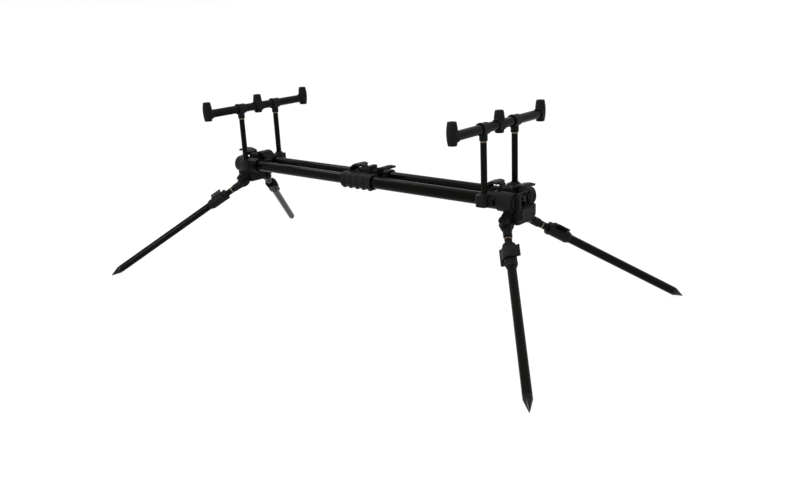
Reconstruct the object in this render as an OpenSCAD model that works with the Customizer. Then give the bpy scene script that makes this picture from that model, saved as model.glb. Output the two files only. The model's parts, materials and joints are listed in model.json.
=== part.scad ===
/* [Body tubes] */
// Outside diameter of the two inner body tubes
inner_tube_d = 26.4; // [23:0.2:26.4]
// Wall of the body tubes
tube_wall = 1.2; // [0.8:0.1:1.5]
// Radial play between tubes that slide in each other
slide_gap = 0.1; // [0.05:0.01:0.1]
// Radial play of pieces that are fixed in each other
seat_gap = 0.03; // [0.02:0.01:0.05]
// Radial play of pins and buttons that move
run_gap = 0.05; // [0.03:0.01:0.1]
// Flat gap between faces that turn or slide past each other
face_gap = 0.3; // [0.2:0.05:0.5]
// Distance of each body tube from the centre line
tube_y = 31.5; // [30:0.5:34]
// How far the inner tubes reach past the middle of the pod
inner_reach = 190; // [120:5:230]

/* [Centre clamp] */
// Wall of the clamp round the outer tubes
clamp_wall = 4; // [3.5:0.25:6]
// Length of the half that grips the inner tubes
clamp_inner_len = 46; // [42:1:56]
// Length of the half that grips the outer tubes
clamp_outer_len = 50; // [46:1:60]
// Width of one grip rib on the clamp
rib_w = 12; // [8:0.5:14]
// Width of the grooves between the grip ribs
groove_w = 5; // [3:0.5:8]
// Height of the grip ribs
rib_h = 1.2; // [0.6:0.1:1.5]
// Distance from the middle to the pivot of the inner clamp lever
inner_lever_x = -2; // [-4:0.5:0]
// Distance from the middle to the pivot of the outer clamp lever
outer_lever_x = 34; // [32:0.5:37]

/* [Cam levers] */
// Diameter of the steel lever pins
pin_d = 6; // [4:0.5:8]
// Radius of the round cam end of a lever
cam_r = 8.5; // [7.5:0.25:9]
// Width of the cam end
cam_w = 18; // [14:1:18]
// Width of the arched finger part
arch_w = 34; // [28:1:35]
// Radius of the top of the arch
arch_r = 26; // [25:0.25:27]
// Thickness of the arch
arch_t = 4.5; // [3.5:0.25:5]
// Radius of the top of a lever's tail
tail_r = 58; // [52:1:70]
// Length of a tail from the lever's pivot to its tip
lever_reach = 46; // [43:1:48]
// How far the tip of a tail is cut back underneath
tip_cut = 6; // [3:0.5:8]
// Thickness of the two ears that hold a lever
ear_t = 4; // [3:0.5:5]
// Height of the lever pivots above the tube axes
lever_rise = 18; // [17.5:0.25:20]

/* [Upright brackets] */
// Distance from the middle of the pod to the uprights
upright_x = 388; // [360:1:420]
// Distance of each upright from the centre line
upright_y = 60; // [59:0.5:62]
// Length of a bracket along the tubes
bracket_len = 38; // [34:1:42]
// Wall of the bracket round the tubes
ring_wall = 4; // [3:0.5:6]
// Length of the upright sockets along the tubes
socket_len = 28; // [26:1:32]
// How far the upright sockets are set back towards the middle of the pod
socket_back = 3; // [0:0.5:4]
// Width of the upright sockets
socket_w = 28; // [24:1:30]
// Height of the upright sockets
socket_h = 26; // [22:1:30]
// Height of the middle of the upright sockets above the tube axes
socket_rise = 4.5; // [2:0.5:6]
// Corner radius of the upright sockets
socket_r = 8; // [3:0.5:10]
// Wall of the collar on top of an upright socket
lip_wall = 3; // [2:0.5:4]
// Height of the collar on top of an upright socket
lip_h = 4; // [2:0.5:6]
// Free space between a bracket and its leg block
casting_gap = 2; // [1:0.5:4]

/* [Leg blocks] */
// Wall of the leg block round the tubes
barrel_wall = 7; // [6:0.5:8]
// Length of a leg block along the tubes
block_len = 38; // [37:0.5:42]
// Thickness of the foot plate at the outer end of a leg block
foot_t = 15; // [12:0.5:16]
// Half the width of the lower beam that carries the legs
beam_half = 26; // [24:0.5:27]
// Half the width of the foot plate
foot_half = 28; // [27.5:0.5:31]
// Corner radius of the foot plate
foot_r = 9; // [4:0.5:11]
// How far the beam reaches below the leg pivots
beam_drop = 2; // [0:0.5:4]
// Diameter of the round end caps
cap_d = 33; // [32:0.5:35]
// Thickness of the end caps
cap_t = 3; // [2:0.5:4]
// Half the width of the end frame over the caps
bezel_half = 33; // [30:0.5:36]
// Thickness of the end frame
bezel_t = 8; // [5:0.5:10]
// Width of the rim round the end frame's window
bezel_rim = 6; // [4:0.5:8]
// Width of the cover plate on the end frame
cover_w = 54; // [48:1:56]
// Height of the cover plate
cover_h = 24; // [20:0.5:25]
// Thickness of the cover plate
cover_t = 2; // [1:0.5:4]
// Shank diameter of the cover screws
screw_d = 3; // [2.5:0.5:4]
// Shank length of the cover screws
screw_len = 12; // [9:1:14]

/* [Leg joints] */
// Distance from the start of a leg block to its leg pivots
pivot_inset = 21; // [20:0.5:22]
// Distance of each leg pivot from the centre line
pivot_y = 40; // [39:0.5:42]
// Height of the tube axes above the leg pivots
tube_over_pivot = 49; // [47:0.5:51]
// Lean of the leg hinges from upright
leg_tilt = 37.4; // [34:0.1:40]
// Swing of the legs away from the line of the tubes
leg_spread = 57.7; // [45:0.1:65]
// Radius of the eye that turns on the leg bolt
eye_r = 15; // [13:0.5:15]
// Thickness of the eye
eye_t = 14; // [11:0.5:15]
// Diameter of the leg bolts
bolt_d = 10; // [8:0.5:12]
// Radius of the boss above the eye
boss_r = 11.5; // [10.5:0.5:13]
// Length of the boss above the eye
boss_len = 13.5; // [13:0.1:15]
// Diameter of the lock button
button_d = 10; // [8:0.5:12]
// How far the lock button stands out
button_proud = 3; // [2.6:0.1:4]
// Travel of the lock button
button_travel = 2.5; // [1.5:0.1:2.5]

/* [Legs] */
// Length of a leg from its pivot to the tip of its spike
leg_length = 452; // [420:1:520]
// Outside diameter of the upper leg tubes
upper_tube_d = 16.5; // [14:0.5:16.5]
// Wall of the leg tubes
leg_wall = 1.4; // [1:0.1:1.6]
// Distance from a leg pivot to the open end of its tube socket
socket_end = 34; // [30:1:36]
// Wall of the tube socket on the knuckle
socket_wall = 1.6; // [1.4:0.1:2.6]
// Distance from a leg pivot to the top of its collar
collar_start = 58; // [54:1:64]
// Length of a leg collar
collar_len = 60; // [56:1:70]
// Outside diameter of a leg collar
collar_d = 27; // [25:0.5:27.5]
// Length of the upper leg tubes
upper_tube_len = 320; // [280:5:340]
// Length of a leg spike below the tube
spike_len = 34; // [25:1:45]
// Depth of a spike's plug in the tube
plug_len = 18; // [10:1:30]
// Radius of the blunt tip of a spike
tip_r = 0.6; // [0.4:0.1:1.5]
// Length of a leg lever along the leg
flip_len = 30; // [22:1:32]
// Thickness of a leg lever
flip_t = 4; // [3:0.25:4.5]
// How far a leg lever reaches past the collar's axis
flip_reach = 24.5; // [20:0.5:27]
// Diameter of the pivots moulded on a leg lever
trunnion_d = 3; // [2:0.25:4]

/* [Rod bars] */
// Distance between neighbouring alarm threads
rod_spacing = 168; // [140:1:200]
// Height of the rod bars above the tube axes
bar_rise = 157.5; // [140:0.5:180]
// Outside diameter of the rod bar tube
bar_d = 21; // [18:0.5:22]
// Wall of the rod bar tube and the uprights
bar_wall = 1.5; // [1:0.1:2]
// Largest diameter of the barrel shaped bosses
boss_d = 24; // [22:0.5:26]
// How much a boss narrows towards its ends, on the radius
boss_bulge = 2.8; // [1:0.2:4]
// Height of a boss above the bar axis
boss_up = 30.5; // [28:0.5:36]
// Depth of a boss below the bar axis
boss_down = 17.5; // [14:0.5:22]
// Wall of the sleeves round the rod bar
sleeve_wall = 2.5; // [1.5:0.25:4]
// Half length of the sleeves round the rod bar
sleeve_half = 13; // [11:0.5:18]
// Radius of the alarm thread's bore
thread_r = 4.2; // [3:0.1:4.8]
// Depth of the alarm thread
thread_len = 16; // [10:0.5:17]
// Outside diameter of the threaded inserts
insert_d = 12; // [11:0.5:12.5]
// Outside diameter of the uprights
upright_d = 14; // [11:0.5:14.5]
// Length of the neck that holds an upright
neck_len = 25; // [24.5:0.5:30]
// How far an upright goes into its neck
neck_depth = 13; // [8:0.5:13]

/* [Hidden] */
$fn = 64;
overlap = 0.5;
outer_tube_d = inner_tube_d + 2 * (slide_gap + tube_wall);
lower_tube_d = upper_tube_d + 2 * (slide_gap + leg_wall);
leg_rise = sin(leg_spread) * sin(leg_tilt);
pivot_z = leg_length * leg_rise + tip_r * cos(asin(leg_rise));
tube_z = pivot_z + tube_over_pivot;
bar_z = tube_z + bar_rise;
lever_z = tube_z + lever_rise;
web_depth = 12;
web_top = lever_z - cam_r - 2 * face_gap;
web_bottom = tube_z - web_depth;
cross_up = 10;
cross_down = 7;
bracket_x0 = upright_x - bracket_len / 2;
bracket_x1 = upright_x + bracket_len / 2;
block_x0 = bracket_x1 + casting_gap;
block_x1 = block_x0 + block_len;
end_x = block_x1 + cap_t;
pivot_x = block_x0 + pivot_inset;
tube_inset = 7;
tube_end_x = block_x1 - tube_inset;
barrel_d = outer_tube_d + 2 * barrel_wall;
ring_d = outer_tube_d + 2 * ring_wall;
clamp_size = outer_tube_d + 2 * clamp_wall;
ear_r = cam_r - 0.5;
ear_y = cam_w / 2 + face_gap + ear_t / 2;
bracket_lever_x = bracket_x1 - ear_r;
block_ear_inset = 4;
block_lever_x = block_x0 + ear_r + block_ear_inset;
lever_sweep = 12;
spine_half = 14;
spine_up = 15;
arch_back = 19;
arch_rise = 18;
arch_front = 2;
arch_foot = 2;
tail_back = 34;
tail_front = 6;
stem_w = 8;
eye_half = eye_t / 2;
boss_start = eye_half + face_gap;
boss_end = boss_start + boss_len;
shoulder_up = 30;
head_t = 3.5;
head_r = bolt_d / 2 + 4;
pocket_r = eye_r + 3;
bolt_grip = 4.7;
bolt_end = boss_start + bolt_grip;
button_depth = 7.5;
button_seat = boss_end - button_depth;
button_stop = 0.5;
beam_z = pivot_z - beam_drop;
foot_top = tube_z - cap_d / 2 - face_gap;
recess_w = 16;
recess_h = 14;
recess_depth = 9;
bezel_inset = 8;
bezel_low = beam_z + bezel_inset;
bezel_high = tube_z + barrel_d / 2;
bezel_r = 10;
cover_inset = 4.5;
cover_z = bezel_low + cover_inset + cover_h / 2;
cover_r = 5;
window_gap = 3;
window_r = 5;
face_x = end_x + bezel_t;
screw_inset = 5.5;
socket_d = upper_tube_d + 2 * (seat_gap + socket_wall);
socket_start = eye_r + 2;
tube_seat = socket_start + 3;
collar_end = collar_start + collar_len;
collar_lip = 8;
collar_taper = 8;
tube_stop = collar_start + 4;
shoulder = leg_length - spike_len;
flip_start = collar_start + 12;
flip_end = flip_start + flip_len;
flip_r0 = collar_d / 2 + 0.5;
flip_r1 = flip_r0 + flip_t;
knuckle_r = 4;
hinge_r = flip_r0 + knuckle_r + 0.4;
lug_t = 5.5;
trunnion_len = 4.5;
wrap_rest = 50;
sleeve_d = bar_d + 2 * sleeve_wall;
bar_inset = 6;
bar_half = rod_spacing - bar_inset;
neck_d = upright_d + 4;
socket_z = tube_z + socket_rise - socket_h / 2;
charcoal = [0.07, 0.07, 0.08];
anodised = [0.03, 0.03, 0.03];
steel = [0.35, 0.35, 0.37];

// Rectangle with rounded corners, centred on the origin
module round_rect(w, h, r) {
    square([w - 2 * r, h], center = true);
    square([w, h - 2 * r], center = true);
    for (i = [-1, 1], j = [-1, 1])
        translate([i * (w / 2 - r), j * (h / 2 - r)]) circle(r = r);
}

// Rod along +X that starts at a point
module rod_x(x, y, z, d, len) {
    translate([x, y, z]) rotate([0, 90, 0]) cylinder(d = d, h = len);
}

// Rod along Y, centred on a point
module rod_y(x, y, z, d, len) {
    translate([x, y, z]) rotate([90, 0, 0]) cylinder(d = d, h = len, center = true);
}

// Extrudes an outline drawn in Y and Z along +X
module slab_x(x, len) {
    translate([x, 0, 0]) rotate([90, 0, 90]) linear_extrude(len) children();
}

// Puts a piece drawn for the right end at either end, side is 1 or -1
module at_end(side) {
    mirror([side < 0 ? 1 : 0, 0, 0]) children();
}

// Frame of a leg hinge: its axis is +Z and the outer end of the pod is +X
module at_hinge(side, row) {
    at_end(side) mirror([0, row > 0 ? 1 : 0, 0])
        translate([pivot_x, -pivot_y, pivot_z]) rotate([leg_tilt, 0, 0]) children();
}

// Frame of a leg: +X runs from the pivot to the tip, +Z along the hinge
module at_leg(side, row) {
    at_hinge(side, row) rotate([0, 0, -leg_spread]) children();
}

// Frame of a leg collar: +Z runs along the leg
module along_leg(x) {
    translate([x, 0, 0]) rotate([0, 90, 0]) children();
}

// Two ears that carry a lever pin, and the holes for it
module lever_ears(x) {
    for (s = [-1, 1]) translate([x, s * ear_y, lever_z]) rotate([90, 0, 0])
        linear_extrude(ear_t, center = true) {
            circle(r = ear_r);
            translate([-ear_r, -lever_rise]) square([2 * ear_r, lever_rise]);
        }
}

module lever_pin_hole(x) {
    rod_y(x, 0, lever_z, pin_d + 2 * seat_gap, 2 * (ear_y + ear_t));
}

module lever_pin(x) {
    rod_y(x, 0, lever_z, pin_d, 2 * ear_y + ear_t);
}

// Clears the space in which a lever's cam and arch turn
module lever_space(x) {
    rod_y(x, 0, lever_z, 2 * (cam_r + face_gap), cam_w + 2 * face_gap);
}

// Side view of a lever with an arch that comes down again, pointing along -X from its pivot
module arch_outline() {
    circle(r = cam_r);
    intersection() {
        translate([-arch_back, arch_rise - arch_r]) difference() {
            circle(r = arch_r);
            circle(r = arch_r - arch_t);
        }
        translate([-3 * arch_r, -arch_foot]) square([3 * arch_r - arch_front, 2 * arch_r]);
    }
}

// Height of the middle of a lever's tail at a distance from the pivot
function tail_z(x) = arch_rise - tail_r + sqrt(pow(tail_r - arch_t / 2, 2) - pow(x - tail_back, 2));

// Side view of a lever with a raised tail that ends in a sharp tip, pointing along -X
module tail_outline() {
    stem_end = tail_front + stem_w;
    circle(r = cam_r);
    polygon([
        [-cam_r, 0], [cam_r * cos(45), cam_r * sin(45)],
        [-tail_front, tail_z(tail_front)], [-stem_end, tail_z(stem_end)]
    ]);
    intersection() {
        translate([-tail_back, arch_rise - tail_r]) difference() {
            circle(r = tail_r);
            circle(r = tail_r - arch_t);
        }
        polygon([
            [-tail_front, 0], [-tail_front, 2 * arch_rise], [-lever_reach, 2 * arch_rise],
            [-lever_reach, arch_rise - arch_t / 2], [-lever_reach + tip_cut, 0]
        ]);
    }
}

// Cam lever from its side view: the finger part is wider than the cam between the ears
module cam_lever() {
    reach = 3 * arch_r;
    color(charcoal) difference() {
        union() {
            rotate([90, 0, 0]) linear_extrude(cam_w, center = true) children();
            rotate([90, 0, 0]) linear_extrude(arch_w, center = true) intersection() {
                children();
                translate([-reach, -reach]) square([reach - cam_r - 1, 2 * reach]);
            }
        }
        rod_y(0, 0, 0, pin_d + 2 * run_gap, 2 * arch_w);
    }
}

module placed_lever(x, points) {
    translate([x, 0, lever_z]) mirror([points > 0 ? 1 : 0, 0, 0]) cam_lever() children();
}

// Hollow tube along +X
module tube_x(x, y, d, wall, len) {
    difference() {
        rod_x(x, y, tube_z, d, len);
        rod_x(x - overlap, y, tube_z, d - 2 * wall, len + 2 * overlap);
    }
}

module outer_tubes() {
    color(anodised) for (s = [-1, 1])
        tube_x(0, s * tube_y, outer_tube_d, tube_wall, tube_end_x);
}

module inner_tubes() {
    color(anodised) for (s = [-1, 1])
        tube_x(-tube_end_x, s * tube_y, inner_tube_d, tube_wall, tube_end_x + inner_reach);
}

// Double clamp in the middle: one half slides on the inner tubes, the other holds the outer ones
module centre_clamp() {
    len = clamp_inner_len + clamp_outer_len;
    corner = clamp_size / 3;
    core = clamp_size - 2 * rib_h;
    count = floor((len - rib_w) / (rib_w + groove_w));
    pitch = (len - rib_w) / count;
    spine_x = inner_lever_x + lever_sweep;
    color(charcoal) difference() {
        union() {
            for (s = [-1, 1]) {
                slab_x(-clamp_inner_len, len)
                    translate([s * tube_y, tube_z]) round_rect(core, core, corner - rib_h);
                for (i = [0 : count])
                    slab_x(-clamp_inner_len + i * pitch, rib_w)
                        translate([s * tube_y, tube_z]) round_rect(clamp_size, clamp_size, corner);
            }
            translate([-clamp_inner_len, -tube_y, web_bottom])
                cube([len, 2 * tube_y, web_top - web_bottom]);
            translate([spine_x, -spine_half, web_bottom])
                cube([outer_lever_x - lever_sweep - spine_x, 2 * spine_half,
                      lever_z + spine_up - web_bottom]);
            lever_ears(inner_lever_x);
            lever_ears(outer_lever_x);
        }
        for (s = [-1, 1]) {
            rod_x(-clamp_inner_len - overlap, s * tube_y, tube_z,
                  inner_tube_d + 2 * slide_gap, clamp_inner_len + 2 * overlap);
            rod_x(0, s * tube_y, tube_z, outer_tube_d + 2 * seat_gap, clamp_outer_len + overlap);
        }
        for (x = [inner_lever_x, outer_lever_x]) {
            lever_pin_hole(x);
            lever_space(x);
        }
    }
}

module centre_lever_pins() {
    color(steel) for (x = [inner_lever_x, outer_lever_x]) lever_pin(x);
}

// Cross bracket: rings on both tubes, a socket for each upright and a lever in the middle
module upright_bracket(side, tube_d) {
    color(charcoal) at_end(side) difference() {
        union() {
            for (s = [-1, 1]) {
                rod_x(bracket_x0, s * tube_y, tube_z, ring_d, bracket_len);
                translate([upright_x - socket_back, s * upright_y, socket_z])
                    linear_extrude(socket_h) round_rect(socket_len, socket_w, socket_r);
                translate([upright_x, s * upright_y, tube_z])
                    cylinder(d = upright_d + 2 * lip_wall, h = socket_rise + socket_h / 2 + lip_h);
            }
            translate([bracket_x0, -upright_y, tube_z - cross_down])
                cube([bracket_len, 2 * upright_y, cross_up + cross_down]);
            translate([bracket_x0, -tube_y, web_bottom])
                cube([bracket_len, 2 * tube_y, web_top - web_bottom]);
            lever_ears(bracket_lever_x);
        }
        for (s = [-1, 1]) {
            rod_x(bracket_x0 - overlap, s * tube_y, tube_z,
                  tube_d + 2 * seat_gap, bracket_len + 2 * overlap);
            translate([upright_x, s * upright_y, tube_z - socket_h])
                cylinder(d = upright_d + 2 * slide_gap, h = 2 * socket_h);
        }
        lever_pin_hole(bracket_lever_x);
        lever_space(bracket_lever_x);
    }
}

// Casting at the end of the tubes that carries both legs of that end
module leg_block(side, tube_d) {
    foot_h = foot_top - beam_z;
    color(charcoal) at_end(side) difference() {
        union() {
            for (s = [-1, 1]) rod_x(block_x0, s * tube_y, tube_z, barrel_d, block_len);
            slab_x(end_x - foot_t, foot_t)
                translate([0, beam_z + foot_h / 2]) round_rect(2 * foot_half, foot_h, foot_r);
            translate([block_x0, -tube_y, web_bottom])
                cube([block_len, 2 * tube_y, web_top - web_bottom]);
            translate([pivot_x - eye_r, -beam_half, beam_z])
                cube([block_x1 - pivot_x + eye_r, 2 * beam_half, tube_z - beam_z]);
            for (s = [0, 1]) mirror([0, s, 0]) leg_boss();
            lever_ears(block_lever_x);
        }
        for (s = [-1, 1])
            rod_x(block_x0 - overlap, s * tube_y, tube_z, tube_d + 2 * seat_gap, block_len + 2 * overlap);
        for (s = [0, 1]) mirror([0, s, 0]) leg_boss_cuts();
        for (p = cover_screw_places())
            rod_x(end_x - screw_len, p[0], p[1], screw_d + 2 * seat_gap, screw_len + overlap);
        translate([block_x1 - recess_depth, -recess_w / 2, foot_top])
            cube([recess_depth + overlap, recess_w, recess_h]);
        lever_pin_hole(block_lever_x);
        lever_space(block_lever_x);
    }
}

// Boss above one leg eye, with the shoulder that joins it to the barrel and the beam
module leg_boss() {
    shoulder_w = 2 * boss_r - 2;
    translate([pivot_x, -pivot_y, pivot_z]) rotate([leg_tilt, 0, 0]) {
        translate([0, 0, boss_start]) cylinder(r = boss_r, h = boss_len);
        translate([-shoulder_w / 2, 0, boss_start]) cube([shoulder_w, shoulder_up, boss_len - 1]);
    }
}

// Pocket for the eye, and the stepped hole for the leg bolt and the lock button
module leg_boss_cuts() {
    translate([pivot_x, -pivot_y, pivot_z]) rotate([leg_tilt, 0, 0]) {
        translate([0, 0, boss_start - pocket_r]) cylinder(r = pocket_r, h = pocket_r);
        translate([0, 0, boss_start - overlap])
            cylinder(d = bolt_d + 2 * seat_gap, h = bolt_end - boss_start + overlap);
        translate([0, 0, bolt_end - overlap]) cylinder(d = bolt_d - 4, h = boss_len);
        translate([0, 0, button_seat]) cylinder(d = button_d + 2 * run_gap, h = boss_len);
    }
}

// Places of the cover screws, in Y and Z
function cover_screw_places() =
    [for (i = [-1, 1], j = [-1, 1])
        [i * (cover_w / 2 - screw_inset), cover_z + j * (cover_h / 2 - screw_inset)]];

// Round cap on each tube, and a frame over both that carries a plate over the leg lock
module end_covers(side, tube_d) {
    spigot = tube_inset - 2;
    bezel_h = bezel_high - bezel_low;
    window_low = cover_z + cover_h / 2 + window_gap;
    window_h = bezel_high - bezel_rim - window_low;
    window_w = 2 * (bezel_half - bezel_rim);
    color(charcoal) at_end(side) {
        for (s = [-1, 1]) {
            rod_x(block_x1, s * tube_y, tube_z, cap_d, cap_t);
            rod_x(block_x1 - spigot, s * tube_y, tube_z, tube_d, spigot + overlap);
        }
        difference() {
            union() {
                slab_x(end_x, bezel_t)
                    translate([0, bezel_low + bezel_h / 2]) round_rect(2 * bezel_half, bezel_h, bezel_r);
                slab_x(face_x - overlap, cover_t + overlap)
                    translate([0, cover_z]) round_rect(cover_w, cover_h, cover_r);
            }
            slab_x(end_x - overlap, bezel_t + 2 * overlap)
                translate([0, window_low + window_h / 2]) round_rect(window_w, window_h, window_r);
            for (p = cover_screw_places())
                rod_x(end_x - overlap, p[0], p[1], screw_d + 2 * seat_gap, bezel_t + cover_t + 2 * overlap);
        }
    }
}

module cover_screws(side) {
    shank = screw_len - 1;
    color(steel) at_end(side) for (p = cover_screw_places()) {
        rod_x(end_x - shank, p[0], p[1], screw_d, shank + bezel_t + cover_t);
        rod_x(face_x + cover_t, p[0], p[1], 2 * screw_d, screw_d / 2);
    }
}

module lever_pins(side) {
    color(steel) at_end(side) for (x = [bracket_lever_x, block_lever_x]) lever_pin(x);
}

module leg_bolts(side) {
    color(steel) for (row = [-1, 1]) at_hinge(side, row) {
        translate([0, 0, -eye_half - face_gap - head_t]) cylinder(r = head_r, h = head_t);
        translate([0, 0, -eye_half - face_gap]) cylinder(d = bolt_d, h = bolt_end + eye_half + face_gap);
    }
}

module bracket_lever(side) {
    at_end(side) placed_lever(bracket_lever_x, -1) arch_outline();
}

module block_lever(side) {
    at_end(side) placed_lever(block_lever_x, 1) tail_outline();
}

// Lock button in the top of a leg boss
module leg_button(side, row) {
    length = button_depth + button_proud - button_travel - button_stop;
    color(charcoal) at_hinge(side, row)
        translate([0, 0, boss_end + button_proud - length]) cylinder(d = button_d, h = length);
}

// Flat eye on the leg bolt with a socket for the upper tube
module leg_knuckle(side, row) {
    neck_w = eye_r + 4;
    color(charcoal) at_leg(side, row) difference() {
        union() {
            cylinder(r = eye_r, h = eye_t, center = true);
            translate([0, -neck_w / 2, -eye_half]) cube([socket_start + overlap, neck_w, eye_t]);
            along_leg(socket_start) cylinder(d = socket_d, h = socket_end - socket_start);
        }
        cylinder(d = bolt_d + 2 * run_gap, h = 2 * eye_t, center = true);
        along_leg(tube_seat) cylinder(d = upper_tube_d + 2 * seat_gap, h = socket_end);
    }
}

module leg_upper_tube(side, row) {
    color(anodised) at_leg(side, row) along_leg(tube_seat) difference() {
        cylinder(d = upper_tube_d, h = upper_tube_len);
        translate([0, 0, -overlap])
            cylinder(d = upper_tube_d - 2 * leg_wall, h = upper_tube_len + 2 * overlap);
    }
}

module leg_lower_tube(side, row) {
    length = shoulder - tube_stop;
    color(anodised) at_leg(side, row) along_leg(tube_stop) difference() {
        cylinder(d = lower_tube_d, h = length);
        translate([0, 0, -overlap])
            cylinder(d = lower_tube_d - 2 * leg_wall, h = length + 2 * overlap);
    }
}

// Collar on top of the lower tube, with a lip over its end and lugs for the lever
module leg_collar(side, row) {
    color(charcoal) at_leg(side, row) difference() {
        union() {
            along_leg(collar_start) cylinder(d = collar_d, h = collar_len - collar_taper);
            along_leg(collar_start) cylinder(d = collar_d + 1.5, h = collar_lip);
            along_leg(collar_end - collar_taper)
                cylinder(d1 = collar_d, d2 = lower_tube_d + 2, h = collar_taper);
            for (x = [flip_start - face_gap - lug_t, flip_end + face_gap]) {
                along_leg(x) translate([0, -hinge_r, 0]) cylinder(r = knuckle_r, h = lug_t);
                translate([x, -hinge_r, -knuckle_r]) cube([lug_t, hinge_r, 2 * knuckle_r]);
            }
        }
        along_leg(tube_stop) cylinder(d = lower_tube_d + 2 * seat_gap, h = collar_len);
        along_leg(collar_start - overlap) cylinder(d = upper_tube_d + 2 * slide_gap, h = collar_len);
        along_leg(flip_start - trunnion_len - overlap) translate([0, -hinge_r, 0])
            cylinder(d = trunnion_d + 2 * run_gap, h = flip_len + 2 * (trunnion_len + overlap));
    }
}

// Cross section of a flip lever: an arc round the collar, a tail to pull and a hinge knuckle
module leg_lever_outline() {
    tail_t = flip_t - 0.6;
    tail_x = 0.3 - flip_r1 * cos(wrap_rest);
    tail_y = flip_r0 * sin(wrap_rest) + 0.5;
    reach = 2 * flip_r1;
    intersection() {
        difference() {
            circle(r = flip_r1);
            circle(r = flip_r0);
        }
        polygon([[0, 0], [0, -reach], [-reach, -reach], [-reach, reach * tan(wrap_rest)]]);
    }
    translate([tail_x, tail_y]) square([tail_t, flip_reach - tail_y]);
    translate([0, -hinge_r]) circle(r = knuckle_r);
}

// Flip lever that wraps round the collar, with the pivots moulded on
module leg_lever(side, row) {
    color(charcoal) at_leg(side, row) along_leg(flip_start) {
        linear_extrude(flip_len) leg_lever_outline();
        translate([0, -hinge_r, -trunnion_len]) cylinder(d = trunnion_d, h = flip_len + 2 * trunnion_len);
    }
}

// Turned spike with a plug in the tube, a grooved shoulder and a long point
module leg_spike(side, row) {
    r = lower_tube_d / 2;
    plug_r = r - leg_wall - seat_gap;
    color(steel) at_leg(side, row) along_leg(shoulder) rotate_extrude()
        polygon([
            [0, -plug_len], [plug_r, -plug_len], [plug_r, 0], [r, 0], [r, 3],
            [r - 0.9, 3.5], [r - 0.9, 5], [r - 0.2, 5.5], [r - 0.2, 8], [tip_r, spike_len], [0, spike_len]
        ]);
}

module bar_tube(side) {
    color(anodised) difference() {
        rod_y(side * upright_x, 0, bar_z, bar_d, 2 * bar_half);
        rod_y(side * upright_x, 0, bar_z, bar_d - 2 * bar_wall, 2 * bar_half + 2 * overlap);
    }
}

// Barrel shaped outline of a boss, in radius and height from the bar axis
module boss_outline() {
    middle = (boss_up - boss_down) / 2;
    half_h = (boss_up + boss_down) / 2;
    curve_r = (half_h * half_h + boss_bulge * boss_bulge) / (2 * boss_bulge);
    intersection() {
        translate([boss_d / 2 - curve_r, middle]) circle(r = curve_r, $fn = 256);
        translate([0, -boss_down]) square([boss_d, boss_up + boss_down]);
    }
}

// Three moulded bosses that take the alarms, each with a sleeve on the bar
module bar_bosses(side) {
    color(charcoal) for (i = [-1, 0, 1]) translate([side * upright_x, i * rod_spacing, bar_z])
        difference() {
            union() {
                rotate_extrude() boss_outline();
                rod_y(0, -i * sleeve_half / 2, 0, sleeve_d, i == 0 ? 2 * sleeve_half : sleeve_half);
            }
            if (i == 0) rod_y(0, 0, 0, bar_d + 2 * seat_gap, 4 * sleeve_half);
            else rod_y(0, i * (bar_half - rod_spacing - sleeve_half), 0,
                       bar_d + 2 * seat_gap, 2 * sleeve_half);
            translate([0, 0, boss_up - thread_len]) cylinder(d = insert_d + 2 * seat_gap, h = 2 * thread_len);
        }
}

module thread_inserts(side) {
    color(steel) for (i = [-1, 0, 1])
        translate([side * upright_x, i * rod_spacing, bar_z + boss_up - thread_len]) difference() {
            cylinder(d = insert_d, h = thread_len);
            translate([0, 0, -overlap]) cylinder(r = thread_r, h = thread_len + 2 * overlap);
        }
}

// Tee that hangs on the bar and holds the top of an upright
module bar_tees(side) {
    ring_t = 5;
    color(charcoal) for (s = [-1, 1]) translate([side * upright_x, s * upright_y, bar_z]) difference() {
        union() {
            rod_y(0, 0, 0, sleeve_d, 2 * sleeve_half - 2);
            rod_y(0, -sleeve_half + 1 + ring_t / 2, 0, sleeve_d + 2, ring_t);
            translate([0, 0, -neck_len]) cylinder(d = neck_d, h = neck_len);
        }
        rod_y(0, 0, 0, bar_d + 2 * seat_gap, 4 * sleeve_half);
        translate([0, 0, -neck_len - overlap])
            cylinder(d = upright_d + 2 * seat_gap, h = neck_depth + overlap);
    }
}

module uprights(side) {
    top = bar_z - neck_len + neck_depth;
    color(anodised) for (s = [-1, 1])
        translate([side * upright_x, s * upright_y, socket_z]) difference() {
            cylinder(d = upright_d, h = top - socket_z);
            translate([0, 0, -overlap])
                cylinder(d = upright_d - 2 * bar_wall, h = top - socket_z + 2 * overlap);
        }
}

outer_tubes();
inner_tubes();
centre_clamp();
centre_lever_pins();
placed_lever(inner_lever_x, -1) arch_outline();  // centre_inner_lever
placed_lever(outer_lever_x, 1) tail_outline();  // centre_outer_lever
leg_block(1, outer_tube_d);  // right_leg_block
upright_bracket(1, outer_tube_d);  // right_upright_bracket
end_covers(1, outer_tube_d);  // right_end_covers
cover_screws(1);  // right_cover_screws
lever_pins(1);  // right_lever_pins
leg_bolts(1);  // right_leg_bolts
bracket_lever(1);  // right_bracket_lever
block_lever(1);  // right_block_lever
leg_block(-1, inner_tube_d);  // left_leg_block
upright_bracket(-1, inner_tube_d);  // left_upright_bracket
end_covers(-1, inner_tube_d);  // left_end_covers
cover_screws(-1);  // left_cover_screws
lever_pins(-1);  // left_lever_pins
leg_bolts(-1);  // left_leg_bolts
bracket_lever(-1);  // left_bracket_lever
block_lever(-1);  // left_block_lever
bar_tube(1);  // right_bar_tube
bar_bosses(1);  // right_bar_bosses
thread_inserts(1);  // right_thread_inserts
bar_tees(1);  // right_bar_tees
uprights(1);  // right_uprights
bar_tube(-1);  // left_bar_tube
bar_bosses(-1);  // left_bar_bosses
thread_inserts(-1);  // left_thread_inserts
bar_tees(-1);  // left_bar_tees
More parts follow.
